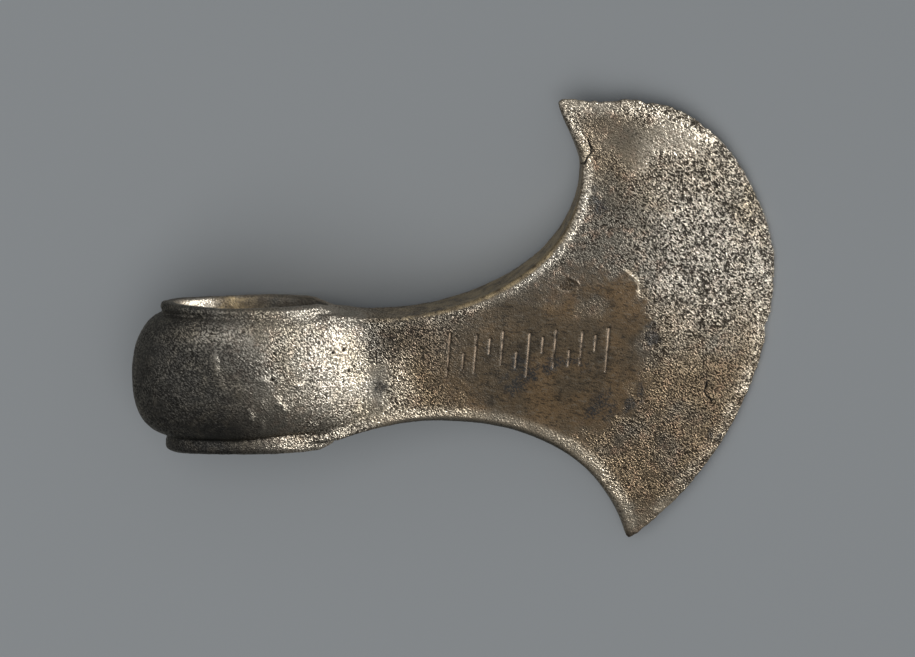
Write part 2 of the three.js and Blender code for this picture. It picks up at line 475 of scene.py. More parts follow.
@dataclass(frozen=True)
class Socket:
    """The oval socket with a collar round each mouth, and its shaft hole. Lengths lie along X."""

    top: float = 17.3
    foot: float = -14.8
    top_collar_height: float = 2.0
    foot_collar_height: float = 3.4
    top_collar_length: float = 39.6
    foot_collar_length: float = 36.6
    barrel_length: float = 52.2
    top_powers: tuple[float, float] = (2.2, 0.62)
    foot_powers: tuple[float, float] = (2.6, 0.5)
    oval: float = 0.63
    top_lip: float = 0.9
    foot_lip: float = 1.5
    top_fillet: float = 0.6
    foot_fillet: float = 1.6
    spread: float = 0.45
    lift: float = 0.9
    groove: float = 0.45
    sunk: float = 2.6
    hole_top_length: float = 32.9
    hole_foot_length: float = 32.0
    hole_oval: float = 0.59

    def barrel_radius(self, y: Array) -> Array:
        """Half the barrel's length at heights between the collars.

        Args:
            y: heights.

        Returns:
            Half lengths.
        """
        low = self.foot + self.foot_collar_height
        high = self.top - self.top_collar_height
        share = np.clip((2.0 * y - low - high) / (high - low), -1.0, 1.0)
        upper = share > 0.0
        collar = np.where(upper, self.top_collar_length, self.foot_collar_length) / 2 - self.groove
        fullness = np.where(upper, self.top_powers[0], self.foot_powers[0])
        roundness = np.where(upper, self.top_powers[1], self.foot_powers[1])
        bulge = (1.0 - np.abs(share) ** fullness) ** roundness
        return collar + (self.barrel_length / 2 - collar) * bulge

    def outside(self, x: Array, y: Array, z: Array) -> Array:
        """Distance to the socket's outer surface, negative within it.

        Args:
            x: lattice of first coordinates.
            y: lattice of heights along the hole.
            z: lattice of coordinates across the blade.

        Returns:
            The distances.
        """
        radius, slope = oval_radius(x, z, self.oval)
        fine = np.linspace(self.foot, self.top, 1200)
        size = self.barrel_radius(fine)
        steep = np.sqrt(1.0 + np.gradient(size, fine) ** 2)
        towards_neck = ramp(-10.0, 6.0, x)
        lift = self.lift * ramp(-5.0, 7.0, x)
        raised = y - lift * ramp(-2.0, -9.0, y)
        size = np.interp(raised, fine, size) + self.groove * towards_neck * ramp(9.0, 14.5, y)
        barrel = (radius - size) / slope
        barrel = barrel / np.clip(np.interp(raised, fine, steep), 1.0, 6.0)
        sunk = self.sunk * ramp(13.5, 20.0, x) - self.spread * ramp(-6.0, -19.0, x)
        walls = np.maximum(self.foot + 1.2 - y, y + sunk - self.top + 1.0)
        barrel = np.maximum(barrel, walls)
        side = (radius - self.top_collar_length / 2) / slope
        top = self.collar(side, y + sunk, self.top, self.top_collar_height, self.top_lip)
        side = (radius - self.foot_collar_length / 2) / slope
        height = self.foot_collar_height + lift
        foot = self.collar(side, y - 0.5 * sunk, self.foot, height, self.foot_lip)
        head = blend_min(barrel, top, self.top_fillet + 1.4 * towards_neck)
        fillet = self.foot_fillet + 1.2 * ramp(-8.0, -20.0, x) - 0.7 * towards_neck
        return blend_min(head, foot, fillet)

    def collar(
        self, side: Array, y: Array, end: float, height: float | Array, lip: float
    ) -> Array:
        """Distance to a collar, from its oval side, its mouth's height, its own and its lip."""
        middle = end - np.copysign(height / 2, end)
        return eased_corner(side, np.abs(y - middle) - height / 2, lip)

    def hole(self, x: Array, y: Array, z: Array) -> Array:
        """Distance to the shaft hole's wall, negative within the hole.

        Args:
            x: lattice of first coordinates.
            y: lattice of heights.
            z: lattice of coordinates across the blade.

        Returns:
            The distances.
        """
        radius, slope = oval_radius(x, z, self.hole_oval)
        share = (y - self.foot) / (self.top - self.foot)
        size = (self.hole_foot_length + (self.hole_top_length - self.hole_foot_length) * share) / 2
        return (radius - size) / slope


@dataclass
class Blade:
    """The neck and the blade: an outline in X and Y, and a thickness over it.

    The curves follow the lower side, the upper side up to its hook, and the edge from tip to tip.
    """

    start: float = 6.0
    root_low: float = -13.4
    root_high: float = 14.4
    under: Curve = ((18.2, -12.3), (40.7, -3.5), (76.5, -10.0), (83.0, -37.2))
    above: Curve = ((28.0, 14.4), (47.0, 14.4), (72.4, 24.2), (72.4, 46.0))
    hook: Curve = ((72.4, 46.0), (72.4, 50.5), (68.2, 55.5), (67.2, 60.7))
    belly: Curve = ((83.0, -37.2), (103.8, -23.9), (115.7, 0.6), (115.7, 23.0))
    brow: Curve = ((115.7, 23.0), (115.7, 31.5), (108.7, 50.6), (96.0, 57.0))
    crown: Curve = ((96.0, 57.0), (89.0, 61.3), (78.9, 60.7), (67.2, 60.7))
    side_points: int = 700
    edge_points: int = 900
    stations: int = 420
    root_thickness: float = 18.8
    root_share: float = 0.2
    bevel_thickness: float = 3.2
    bevel_share: float = 0.05
    edge_thickness: float = 1.3
    taper_power: float = 1.15
    hollow: float = 0.72
    raised_side: float = 2.6
    side_round: float = 0.85
    tip_round: float = 1.4
    map_step: float = 0.45
    map_margin: float = 4.0
    notch: float = 0.75
    ledge: float = 0.45
    lump: float = 1.1
    lower: Array = field(init=False)
    upper: Array = field(init=False)
    edge: Array = field(init=False)
    half: Map = field(init=False)
    rim: Map = field(init=False)
    to_edge: Map = field(init=False)
    to_side: Map = field(init=False)
    reach: float = field(init=False)
    low_tip: float = field(init=False)
    high_tip: float = field(init=False)

    def __post_init__(self) -> None:
        """Draw the outline and the sheets that the form is read from."""
        root = np.array([(self.start, self.root_low), self.under[0]])
        self.lower = self.joined(root, self.side_points, self.under)
        root = np.array([(self.start, self.root_high), self.above[0]])
        self.upper = self.joined(root, self.side_points, self.above, self.hook)
        tip = np.array(self.belly[:1])
        self.edge = self.joined(tip, self.edge_points, self.belly, self.brow, self.crown)
        self.reach = float(self.edge[:, 0].max())
        self.low_tip, self.high_tip = self.under[-1][1], self.hook[-1][1]
        self.draw_sheets()

    def joined(self, start: Array, count: int, *curves: Curve) -> Array:
        """Run on from the starting points over curves, with evenly spaced points."""
        return by_length(np.concatenate([start, *(bezier(curve)[1:] for curve in curves)]), count)

    def wear(self, share: Array) -> Array:
        """How far the edge is eaten back.

        Args:
            share: how far along the edge, from the lower tip.

        Returns:
            Depth of the loss, never negative.
        """
        upper = ramp(0.35, 0.75, share)
        along = np.stack([share * 150.0, np.zeros_like(share), np.zeros_like(share)], axis=-1)
        waves = 0.03 + 0.10 * noise(along, 14.0, 3)
        waves += (0.10 + 0.12 * upper) * noise(along, 3.1, 5)
        chips = np.maximum(noise(along, 4.3, 8) - 0.25, 0.0) * (0.3 + upper)
        crumbs = (0.06 + 0.3 * upper) * noise(along, 1.3, 9)
        notch = self.notch * bell(share, 0.408, 0.012)
        ledge = self.ledge * ramp(0.975, 0.955, share) * ramp(0.845, 0.855, share)
        lump = self.lump * bell(share, 0.884, 0.013)
        ends = ramp(0.0, 0.03, share) * ramp(1.0, 0.985, share)
        return np.maximum(ends * (waves + chips + crumbs + notch + ledge - lump), 0.0)

    def draw_sheets(self) -> None:
        """Fill the sheets of half thickness, rim distance, and distance to edge and sides."""
        x0, y0 = self.start - 2 * self.map_margin, self.low_tip - self.map_margin
        nx = int((self.reach + self.map_margin - x0) / self.map_step)
        ny = int((self.high_tip + self.map_margin - y0) / self.map_step)
        gx, gy = np.meshgrid(
            x0 + np.arange(nx) * self.map_step, y0 + np.arange(ny) * self.map_step, indexing="ij"
        )
        x, y = gx.ravel(), gy.ravel()
        sides = [nearest_on(path, x, y)[0] for path in (self.lower, self.upper)]
        side = np.minimum(*sides)
        edge, share = nearest_on(self.edge, x, y)
        inside = within(np.concatenate([self.lower, self.edge, self.upper[::-1]]), x, y)
        wear = self.wear(share)
        rim = np.where(
            inside,
            blend_max(-side, wear - edge, self.tip_round),
            np.where(edge < side, edge + wear, side),
        )
        rim = np.maximum(rim, self.start - x)
        half = self.spread_thickness(x0, y0, nx, ny)
        self.rim, self.to_edge, self.to_side, self.half = (
            Map(x0, y0, self.map_step, values.reshape(nx, ny)) for values in (rim, edge, side, half)
        )

    def spread_thickness(self, x0: float, y0: float, nx: int, ny: int) -> Array:
        """Lay the half thickness, which follows the blade's own stations, over the sheet.

        Args:
            x0: first coordinate of the sheet.
            y0: second coordinate of the sheet.
            nx: its points along X.
            ny: its points along Y.

        Returns:
            Half thickness by X and then Y, carried on past the outline.
        """
        count = self.stations
        u = np.linspace(0.0, 1.0, count)[:, None, None]
        v = np.linspace(0.0, 1.0, count)[None, :, None]
        low, high = by_length(self.lower, count)[:, None], by_length(self.upper, count)[:, None]
        end = by_length(self.edge, count)[None]
        chord = (1 - v) * low[-1] + v * high[-1]
        place = u * (end - chord) + (1 - v) * low + v * high
        height = np.linalg.norm(high - low, axis=2)
        from_side = np.minimum(v, 1 - v)[:, :, 0] * height
        thick = self.half_thickness(u[:, :, 0] + 0 * from_side, from_side)
        i = (place[:, :, 0].ravel() - x0) / self.map_step
        j = (place[:, :, 1].ravel() - y0) / self.map_step
        total = np.zeros(nx * ny)
        weight = np.zeros(nx * ny)
        for di, dj in np.ndindex(2, 2):
            ci, cj = np.floor(i) + di, np.floor(j) + dj
            share = (1 - np.abs(i - ci)) * (1 - np.abs(j - cj))
            cell = (ci * ny + cj).astype(int)
            total += np.bincount(cell, share * thick.ravel(), nx * ny)
            weight += np.bincount(cell, share, nx * ny)
        total, weight = total.reshape(nx, ny), weight.reshape(nx, ny)
        for _ in range(14):
            wide, heavy = total.copy(), weight.copy()
            for axis, shift in ((0, 1), (0, -1), (1, 1), (1, -1)):
                wide += np.roll(total, shift, axis)
                heavy += np.roll(weight, shift, axis)
            empty = weight < 1e-3
            total = np.where(empty, wide, total)
            weight = np.where(empty, heavy, weight)
        sheet = total / np.maximum(weight, 1e-9)
        return np.where(weight > 0, sheet, self.edge_thickness / 2)

    def half_thickness(self, share: Array, from_side: Array) -> Array:
        """Half the thickness at a share of the blade's length and a distance from its side.

        Args:
            share: 0 in the socket, 1 at the cutting edge.
            from_side: distance to the nearer side.

        Returns:
            Half thicknesses.
        """
        taper = np.clip((share - self.root_share) / (1 - self.bevel_share - self.root_share), 0, 1)
        bevel = np.clip((share - 1 + self.bevel_share) / self.bevel_share, 0, 1)
        wedge = self.root_thickness + (self.bevel_thickness - self.root_thickness) * (
            taper**self.taper_power
        )
        full = wedge + (self.edge_thickness - wedge) * bevel
        hollow = self.hollow * np.sqrt(np.sin(np.pi * np.clip(share, 0, 1)).clip(0))
        return full / 2 - hollow * (1 - bell(from_side, 0.0, self.raised_side))

    def outside(self, x: Array, y: Array, z: Array) -> Array:
        """Distance to the blade's surface, negative within it.

        Args:
            x: lattice of first coordinates, n by 1 by 1.
            y: lattice of second coordinates, 1 by n by 1.
            z: lattice of third coordinates, 1 by 1 by n.

        Returns:
            The distances.
        """
        half = self.half.over(x, y)
        ease = np.minimum(self.side_round, 0.8 * half)
        return eased_corner(self.rim.over(x, y), np.abs(z) - half, ease)


@dataclass
class Form:
    """Socket, neck, blade and shaft hole joined in one field of distances."""

    socket: Socket
    blade: Blade
    flare: float = 3.6
    collar_fillet: float = 4.2
    side_fillet: float = 0.8
    least_fillet: float = 0.05
    mouth_round: float = 0.9
    step: float = 0.30
    coarse_step: float = 0.8

    def mesh(self) -> tuple[Array, Array]:
        """Mesh the head.

        Returns:
            Points in the head's own frame, and four-sided faces.
        """
        step = self.step
        reach = self.socket.barrel_length / 2
        wide = reach * self.socket.oval
        low = np.array([-reach, self.blade.low_tip, -wide]) - 2 * step
        high = np.array([self.blade.reach, self.blade.high_tip + 0.6, wide]) + 2 * step
        axes = [np.arange(a, b, step) for a, b in zip(low, high)]
        x = axes[0][:, None, None].astype(np.float32)
        y = axes[1][None, :, None].astype(np.float32)
        z = axes[2][None, None, :].astype(np.float32)
        socket = self.socket.outside(x, y, z)
        blade = self.blade.outside(x, y, z)
        rim = self.blade.rim.over(x, y)
        fillet = self.side_fillet + (self.flare - self.side_fillet) * ramp(-1.0, -4.5, rim)
        fillet += (self.collar_fillet - fillet) * ramp(6.0, 12.0, y) * ramp(10.0, 16.0, x)
        fillet = self.least_fillet + fillet * ramp(8.0, 17.0, x)
        head = blend_min(socket, blade, fillet.astype(np.float32))
        head = blend_max(head, -self.socket.hole(x, y, z), self.mouth_round)
        points, faces = surface_net(head, low, step)
        x, y, z = points.T
        deep = (np.abs(self.socket.hole(x, y, z)) < 1.0) & (y < self.socket.top - 9.0)
        under = z < -0.5 - 1.1 * ramp(100.0, 80.0, x)
        return merge_blocks(points, faces, under | deep, 3.0 * step)


# ---------------------------------------------------------------- what was cut and what wore


@dataclass(frozen=True)
class Stroke:
    """One shallow stroke, from its head to a thin tail.

    Attributes:
        x: first coordinate of its head.
        y: second coordinate of its head.
        length: from head to tail.
        lean: angle of the tail from straight down towards the socket, in radians.
    """

    x: float
    y: float
    length: float
    lean: float

    def depth(self, x: Array, y: Array, width: float) -> Array:
        """How deep the stroke is at places, from 0 to 1.

        Args:
            x: places' first coordinate.
            y: places' second coordinate.
            width: full width at the stroke's head.

        Returns:
            Share of the full depth.
        """
        ux, uy = -math.sin(self.lean), -math.cos(self.lean)
        along = np.clip((x - self.x) * ux + (y - self.y) * uy, 0.0, self.length)
        away = np.hypot(x - self.x - along * ux, y - self.y - along * uy)
        half = 0.5 * width * (1.0 - 0.35 * along / self.length)
        return np.clip(1.0 - away / half, 0.0, 1.0) ** 0.8


@dataclass(frozen=True)
class StrokeRow:
    """A row of tall strokes, each alone, with a short one between each two; it spells nothing."""

    start: float = 42.6
    pitch: float = 5.9
    top: float = 10.6
    tall: int = 7
    tall_length: float = 9.4
    shorter_by: float = 1.2
    short_length: float = 3.2
    short_drops: tuple[float, float] = (4.6, 1.0)
    lean: float = 0.08
    width: float = 0.85
    depth: float = 0.3

    def strokes(self) -> list[Stroke]:
        """List the row's strokes.

        Returns:
            The strokes, from the socket to the edge.
        """
        row = []
        for k in range(self.tall):
            x, y = self.start + k * self.pitch, self.top - 0.5 * (k % 2)
            row.append(Stroke(x, y, self.tall_length - self.shorter_by * (k % 3), self.lean))
            if k < self.tall - 1:
                y -= self.short_drops[k % 2]
                row.append(Stroke(x + self.pitch / 2, y, self.short_length, self.lean))
        return row

    def cut(self, x: Array, y: Array) -> Array:
        """Share of the strokes' depth at places.

        Args:
            x: places' first coordinate.
            y: places' second coordinate.

        Returns:
            0 off the strokes, 1 at their deepest.
        """
        depth = np.zeros(len(x))
        for stroke in self.strokes():
            depth = np.maximum(depth, stroke.depth(x, y, self.width))
        return depth

    def near(self, x: Array, y: Array) -> Array:
        """Tell which places lie in the row."""
        right = self.start + self.tall * self.pitch - 4.0
        return (x > self.start - 1.5) & (x < right) & (y > 0.0) & (y < self.top + 1.2)


@dataclass(frozen=True)
class Mark:
    """A place on the upper face with a size.

    Attributes:
        x: first coordinate.
        y: second coordinate.
        wide: half width along X.
        high: half width along Y.
    """

    x: float
    y: float
    wide: float
    high: float

    def over(self, x: Array, y: Array) -> Array:
        """How far places are from the mark's middle, 1 at its rim."""
        return np.hypot((x - self.x) / self.wide, (y - self.y) / self.high)


class Layer(Enum):
    """What each point of the surface carries for the finish."""

    RELIEF = "relief"
    PATCH = "patch"
    CRUST = "crust"
    STAIN = "stain"
    # Grey film and painted shade.
    FILM_AND_SHADE = "film_and_shade"
    # Worn bright metal, and painted highlights.
    BRIGHT = "bright"
    WARM = "warm"
    SIDE = "side"
    CUT = "cut"


@dataclass
class Zones:
    """Where the surface's points lie: each part of the head as a share from 0 to 1.

    Attributes:
        points: n by 3, in the head's own frame.
        socket: the socket that they lie on.
        blade: the neck and blade that they lie on.
        stray: how far the borders between zones wander.
        x: the first coordinate.
        y: the second coordinate.
        wx: the first coordinate, strayed.
        wy: the second coordinate, strayed.
        sway: the stray along X, from about -1 to 1.
        up: True on the face with the strokes.
        to_edge: distance to the cutting edge.
        to_side: distance to the nearer side of neck and wings.
        on_blade: neck and blade.
        on_socket: the socket.
        bore: the wall of the shaft hole.
        narrow: the sides of neck and wings, which carry little grain.
        flange: the raised sides, seen from above.
        right: the coarse grain of the blade's right.
        heel: the finer grain below it.
        neck_top: the grain at the upper side of the neck.
        belly: the socket's lower right.
        fringe: the worn band along the cutting edge.
    """

    points: Array
    socket: Socket
    blade: Blade
    stray: float = 2.6
    x: Array = field(init=False)
    y: Array = field(init=False)
    wx: Array = field(init=False)
    wy: Array = field(init=False)
    sway: Array = field(init=False)
    up: Array = field(init=False)
    to_edge: Array = field(init=False)
    to_side: Array = field(init=False)
    on_blade: Array = field(init=False)
    on_socket: Array = field(init=False)
    bore: Array = field(init=False)
    narrow: Array = field(init=False)
    flange: Array = field(init=False)
    right: Array = field(init=False)
    heel: Array = field(init=False)
    neck_top: Array = field(init=False)
    belly: Array = field(init=False)
    fringe: Array = field(init=False)

    def __post_init__(self) -> None:
        """Measure the points against the parts of the head."""
        x, y, z = self.points.T
        self.x, self.y, self.up = x, y, z > 0.0
        self.sway = noise(self.points, 7.0, 21)
        wx = x + self.stray * self.sway
        wy = y + self.stray * noise(self.points, 7.0, 22)
        self.wx, self.wy = wx, wy
        self.to_edge = self.blade.to_edge.read(x, y)
        self.to_side = self.blade.to_side.read(x, y)
        half = self.blade.half.read(x, y)
        self.on_blade = ramp(25.0, 31.0, x)
        self.on_socket = ramp(30.0, 23.0, x)
        self.bore = self.on_socket * ramp(0.9, 0.3, np.abs(self.socket.hole(x, y, z)))
        self.narrow = ramp(21.0, 33.0, wx) * ramp(1.3, 0.7, self.to_side)
        self.narrow *= ramp(1.2, 2.0, half - np.abs(z) + 0.35 * half)
        self.flange = self.on_blade * ramp(3.0 + 1.2 * (y < 0.0), 1.4, self.to_side)
        self.flange *= ramp(0.0, 6.0, self.to_edge)
        self.right = self.share((78.0, 95.0), (-1.0, 13.0))
        self.heel = self.share((72.0, 84.0), (6.0, -2.0))
        self.neck_top = ramp(20.0, 27.0, x) * self.share((48.0, 36.0), (3.0, 7.5))
        self.belly = self.on_socket * self.share((3.0, 12.0), (-3.0, -9.0))
        broken = ramp(0.0, 0.3, noise(self.points, 3.2, 24))
        self.fringe = self.on_blade * ramp(4.4, 1.2, self.to_edge) * ramp(-37.0, -33.0, y)
        self.fringe *= 0.45 + 0.55 * np.maximum(ramp(0.0, 20.0, y), broken)

    def share(self, across: tuple[float, float], along: tuple[float, float]) -> Array:
        """Share of a soft-edged area, 0 at the first value along each axis and 1 at the second."""
        return ramp(*across, self.wx) * ramp(*along, self.wy)


@dataclass
class Surface:
    """Wear, corrosion, cuts and painted light and shade: how far each point moves, and what it
    carries for the finish.

    Depths and heights are in millimetres.
    """

    socket: Socket
    blade: Blade
    row: StrokeRow
    grain: float = 0.26
    pit_depth: float = 0.13
    scar_depth: float = 0.13
    crest_height: float = 0.12
    knock_height: float = 0.4
    pinhole_depth: float = 0.5
    crack_depth: float = 0.35
    rim_height: float = 0.14
    relief_range: float = 0.5
    pinholes: tuple[Mark, ...] = (
        Mark(18.9, 7.9, 0.42, 0.42),
        Mark(16.4, 7.5, 0.36, 0.36),
        Mark(20.1, 3.2, 0.36, 0.36),
        Mark(21.3, 4.1, 0.3, 0.3),
        Mark(3.2, 8.1, 0.36, 0.36),
        Mark(2.8, 2.4, 0.4, 0.4),
    )
    scar: Mark = Mark(68.6, 20.5, 2.1, 1.6)
    patch: Mark = Mark(62.5, 3.6, 24.0, 16.0)
    patch_corner: Mark = Mark(75.0, 13.0, 12.0, 9.5)
    # Painted highlight on the socket's flare, towards the neck.
    flare_highlight: Mark = Mark(21.0, 0.6, 8.0, 10.5)
    crescent: Mark = Mark(80.6, 19.6, 3.7, 3.7)
    bared: Mark = Mark(73.4, 15.6, 3.6, 3.4)
    # Painted sheen on the barrel's shoulder, under the upper collar.
    shoulder_sheen: Mark = Mark(-8.2, 11.9, 7.5, 1.7)
    knocks: tuple[Mark, ...] = (
        Mark(-9.3, 5.8, 0.6, 3.2),
        Mark(-7.9, 1.9, 0.5, 1.6),
        Mark(1.2, 2.3, 0.9, 0.8),
        Mark(4.0, -2.4, 0.65, 1.2),
        Mark(5.2, -3.9, 0.5, 0.9),
        Mark(-1.6, -5.8, 0.6, 1.5),
        Mark(0.6, -8.2, 0.55, 1.2),
        Mark(8.6, 1.0, 1.1, 0.6),
    )
    beige: Mark = Mark(88.0, 51.0, 11.5, 4.6)
    stains: tuple[Mark, ...] = (
        Mark(59.8, 3.2, 3.0, 3.0),
        Mark(66.6, 2.9, 5.5, 1.2),
        Mark(57.5, -1.0, 2.6, 1.8),
        Mark(76.0, -7.2, 3.0, 1.8),
        Mark(82.6, -5.4, 1.6, 0.9),
        Mark(85.3, -3.0, 0.9, 2.6),
        Mark(88.5, 8.7, 1.3, 1.9),
        Mark(28.6, 0.2, 1.3, 2.0),
        Mark(102.4, -13.9, 1.3, 1.0),
        Mark(95.7, -23.7, 1.5, 1.0),
        Mark(75.6, 38.2, 1.5, 2.2),
    )
    fine_spots: tuple[Mark, ...] = (Mark(18.9, 5.6, 4.4, 4.4), Mark(73.3, 49.0, 4.2, 4.2))
    cracks: tuple[tuple[Point, ...], ...] = (
        ((73.9, 52.0), (74.3, 48.6), (72.2, 46.4)),
        ((100.2, -2.0), (99.7, -4.2), (101.3, -6.6)),
    )

    def detailed(self, points: Array) -> Array:
        """Tell which places need the finest mesh.

        Args:
            points: n by 3, in the head's own frame.

        Returns:
            True for each of them.
        """
        x, y, z = points.T
        near = self.row.near(x, y) | (self.scar.over(x, y) < 1.9)
        for spot in self.fine_spots:
            near |= spot.over(x, y) < 1.0
        return near & (z > 0.0)

    def read(self, points: Array) -> tuple[Array, dict[Layer, Array]]:
        """Work out how far each point moves outwards, and its layers.

        Args:
            points: n by 3, in the head's own frame.

        Returns:
            The move along the surface's normal, in millimetres, and each layer from 0 to 1.
        """
        at = Zones(points, self.socket, self.blade)
        speckle = 0.35 * noise(points, 2.0, 71) + 0.25 * noise(points, 0.9, 72)
        patch = self.smooth_patch(at, speckle)
        beige = ramp(1.5, 0.5, self.beige.over(at.wx, at.wy) + 0.5 * speckle)
        crust = self.corrosion(at, patch, beige)
        swell, relief = self.relief(at, patch, crust)
        bowl, crest = self.scar_form(at)
        cut = at.up * self.row.cut(at.x, at.y)
        crack = at.up * self.crack(at)
        rim = at.up * self.patch_rim(at)
        relief += self.crest_height * crest - self.scar_depth * bowl
        relief += self.knocked(at) + self.rim_height * rim
        relief -= self.row.depth * cut + self.crack_depth * crack
        patch = np.maximum(patch, bowl)
        # Painted sheen under the upper collar: paler, and with less painted shade.
        shoulder_sheen = at.up * bell(self.shoulder_sheen.over(at.wx, at.y))
        warm_blade = np.maximum(ramp(24.0, 4.0, at.wy), 0.6 * ramp(34.0, 46.0, at.wy))
        layers = {
            Layer.RELIEF: 0.5 + relief / self.relief_range,
            Layer.PATCH: patch,
            Layer.CRUST: np.maximum(crust, 0.4 * bowl),
            Layer.STAIN: np.maximum(self.stained(at), crack),
            Layer.FILM_AND_SHADE: self.film_and_shade_share(at, shoulder_sheen),
            # The bright layer also paints a highlight along the crescent rim.
            Layer.BRIGHT: self.wear_and_highlights(at, shoulder_sheen) + 0.9 * rim + 0.3 * beige,
            Layer.WARM: at.on_blade * warm_blade + 0.5 * at.on_socket * ramp(4.0, -8.0, at.wy),
            Layer.SIDE: np.maximum(at.narrow, at.bore * (1 - 0.85 * ramp(-4.0, -11.0, at.wx))),
            Layer.CUT: cut,
        }
        return swell + relief, {name: np.clip(share, 0.0, 1.0) for name, share in layers.items()}

    def smooth_patch(self, at: Zones, speckle: Array) -> Array:
        """Share of the smooth brown patina round the strokes.

        Args:
            at: the points' zones.
            speckle: small unevenness of the borders.

        Returns:
            1 where it is whole, 0 where it is gone.
        """
        ring = np.minimum(self.patch.over(at.wx, at.wy), self.patch_corner.over(at.wx, at.wy))
        blur = 0.17 + 0.22 * ramp(82.0, 68.0, at.x) * ramp(2.0, 9.0, at.y)
        ring = (ring - 1.03 + 0.14 * noise(at.points, 2.6, 23) + 0.45 * speckle) / blur
        patch = ramp(1.0, -1.0, ring)
        patch *= ramp(1.8, 4.0, at.to_side) * (1 - 0.5 * ramp(50.0, 38.0, at.wx))
        return patch * (1 - 0.7 * ramp(1.4, 0.6, self.bared.over(at.wx, at.wy) + speckle))

    def corrosion(self, at: Zones, patch: Array, beige: Array) -> Array:
        """How strong the grainy corrosion is.

        Args:
            at: the points' zones.
            patch: share of smooth patina.
            beige: share of the pale smooth place by the upper edge.

        Returns:
            About 0 where the surface is smooth, 1 where it is all grain.
        """
        wing = at.share((96.0, 80.0), (16.0, 30.0))
        neck = ramp(50.0, 40.0, at.wx)
        neck_foot = ramp(27.0, 33.0, at.x) * at.share((56.0, 42.0), (2.5, -2.0))
        crust = 0.42 + 0.58 * at.right + 0.24 * at.heel + 0.06 * wing + 0.24 * neck
        crust = crust * at.on_blade + 0.42 * at.on_socket + 0.2 * at.belly
        crust *= 1 + 0.4 * noise(at.points, 4.6, 36)
        crust = np.maximum(crust, np.maximum(0.95 * at.neck_top, 0.66 * neck_foot))
        crust = np.maximum(crust, 0.48 * at.fringe * ramp(18.0, 30.0, at.y))
        crust *= 1 - (0.78 - 0.3 * ramp(62.0, 48.0, at.wx)) * patch
        crust *= (1 - 0.7 * beige) * (1 - 0.55 * at.narrow) * (1 - 0.4 * at.bore)
        worn = (0.1 + 0.2 * (at.y < 0.0)) * at.flange + 0.25 * at.fringe * ramp(38.0, 48.0, at.y)
        return crust * (1 - worn) * (1 - 0.4 * ramp(-23.0, -31.0, at.y))

    def relief(self, at: Zones, patch: Array, crust: Array) -> tuple[Array, Array]:
        """Work out the uneven casting and the grain and pits on it.

        Args:
            at: the points' zones.
            patch: share of smooth patina.
            crust: strength of the corrosion.

        Returns:
            The broad swell, and what stands on it, in millimetres outwards.
        """
        points, x, y = at.points, at.x, at.y
        turned = np.stack([0.77 * x - 0.64 * y, 0.64 * x + 0.77 * y, points[:, 2]], axis=1)
        turned += 0.3 * np.stack([noise(points, 2.1, 31), noise(points, 2.1, 32), 0 * x], axis=1)
        swell = 0.10 * noise(points, 11.0, 51) + 0.05 * noise(points, 4.2, 52)
        swell *= 0.5 + 0.5 * at.on_blade
        swell -= 0.06 * at.on_blade * (1 - patch) * ramp(3.0, 5.0, at.to_side)
        swell += 0.09 * crust * (noise(turned, (3.4, 2.2, 2.6), 53) + 0.5 * noise(points, 1.5, 54))
        coarse = noise(turned, (0.78, 0.56, 0.64), 33) + 0.35 * noise(turned, 2.4, 34)
        share = np.clip(at.right + 0.2 * at.neck_top + 0.6 * at.heel, 0.0, 1.0)
        pattern = share * coarse + (1 - share) * noise(points, 0.62, 35)
        relief = self.grain * crust * (0.6 + 0.4 * at.right) * pattern
        away, name = cell_spots(points, 1.6, 41)
        pits = ramp(0.55, 0.15, away) * (name > 0.5)
        relief -= self.pit_depth * pits * np.clip(crust, 0, 1) * (0.6 + 0.4 * at.on_blade)
        ragged = at.on_blade * ramp(3.2, 0.4, at.to_edge)
        return swell, relief + ragged * (0.14 * noise(points, 1.4, 61) - 0.05)

    def scar_form(self, at: Zones) -> tuple[Array, Array]:
        """Shape the hollow scar above the strokes.

        Args:
            at: the points' zones.

        Returns:
            Shares of its hollow and of the crest on its right.
        """
        ring = self.scar.over(at.x, at.y)
        ring += 0.22 * noise(at.points, 1.9, 62) + 0.1 * noise(at.points, 0.8, 63)
        facing = ramp(-1.0, 1.0, at.x - self.scar.x + 0.6 * (at.y - self.scar.y))
        crest = at.up * bell(ring, 1.14, 0.17) * facing
        crest *= ramp(-0.3, 0.25, noise(at.points, 0.9, 67))
        return at.up * ramp(1.0, 0.7, ring), crest

    def knocked(self, at: Zones) -> Array:
        """Raise the small ridges on the socket, and sink its pinholes.

        Args:
            at: the points' zones.

        Returns:
            Millimetres outwards.
        """
        uneven = 0.7 + 0.6 * noise(at.points, 0.9, 68)
        move = np.zeros(len(at.x))
        for knock in self.knocks:
            move += self.knock_height * uneven * bell(knock.over(at.x + 0.4 * at.sway, at.y))
        for hole in self.pinholes:
            move -= self.pinhole_depth * ramp(1.0, 0.3, hole.over(at.x, at.y))
        return at.up * move

    def crack(self, at: Zones) -> Array:
        """Share of the depth of the two cracks.

        Args:
            at: the points' zones.

        Returns:
            0 away from them, 1 in them.
        """
        flat = np.stack([at.x, at.y, 0 * at.x], axis=1)
        x, y = at.x + 0.45 * noise(flat, 1.7, 65), at.y + 0.3 * noise(flat, 1.7, 66)
        depth = np.zeros(len(x))
        for run in self.cracks:
            away = nearest_on(by_length(np.array(run), 60), x, y)[0]
            depth = np.maximum(depth, ramp(0.3, 0.06, away))
        return depth

    def patch_rim(self, at: Zones) -> Array:
        """Share of the raised rim at the upper right of the patina, 1 on its crest."""
        ring = self.crescent.over(at.x, at.y) + 0.12 * noise(at.points, 1.3, 64)
        return bell(ring, 1.0, 0.13) * ramp(80.2, 82.0, at.x) * ramp(16.8, 18.4, at.y)

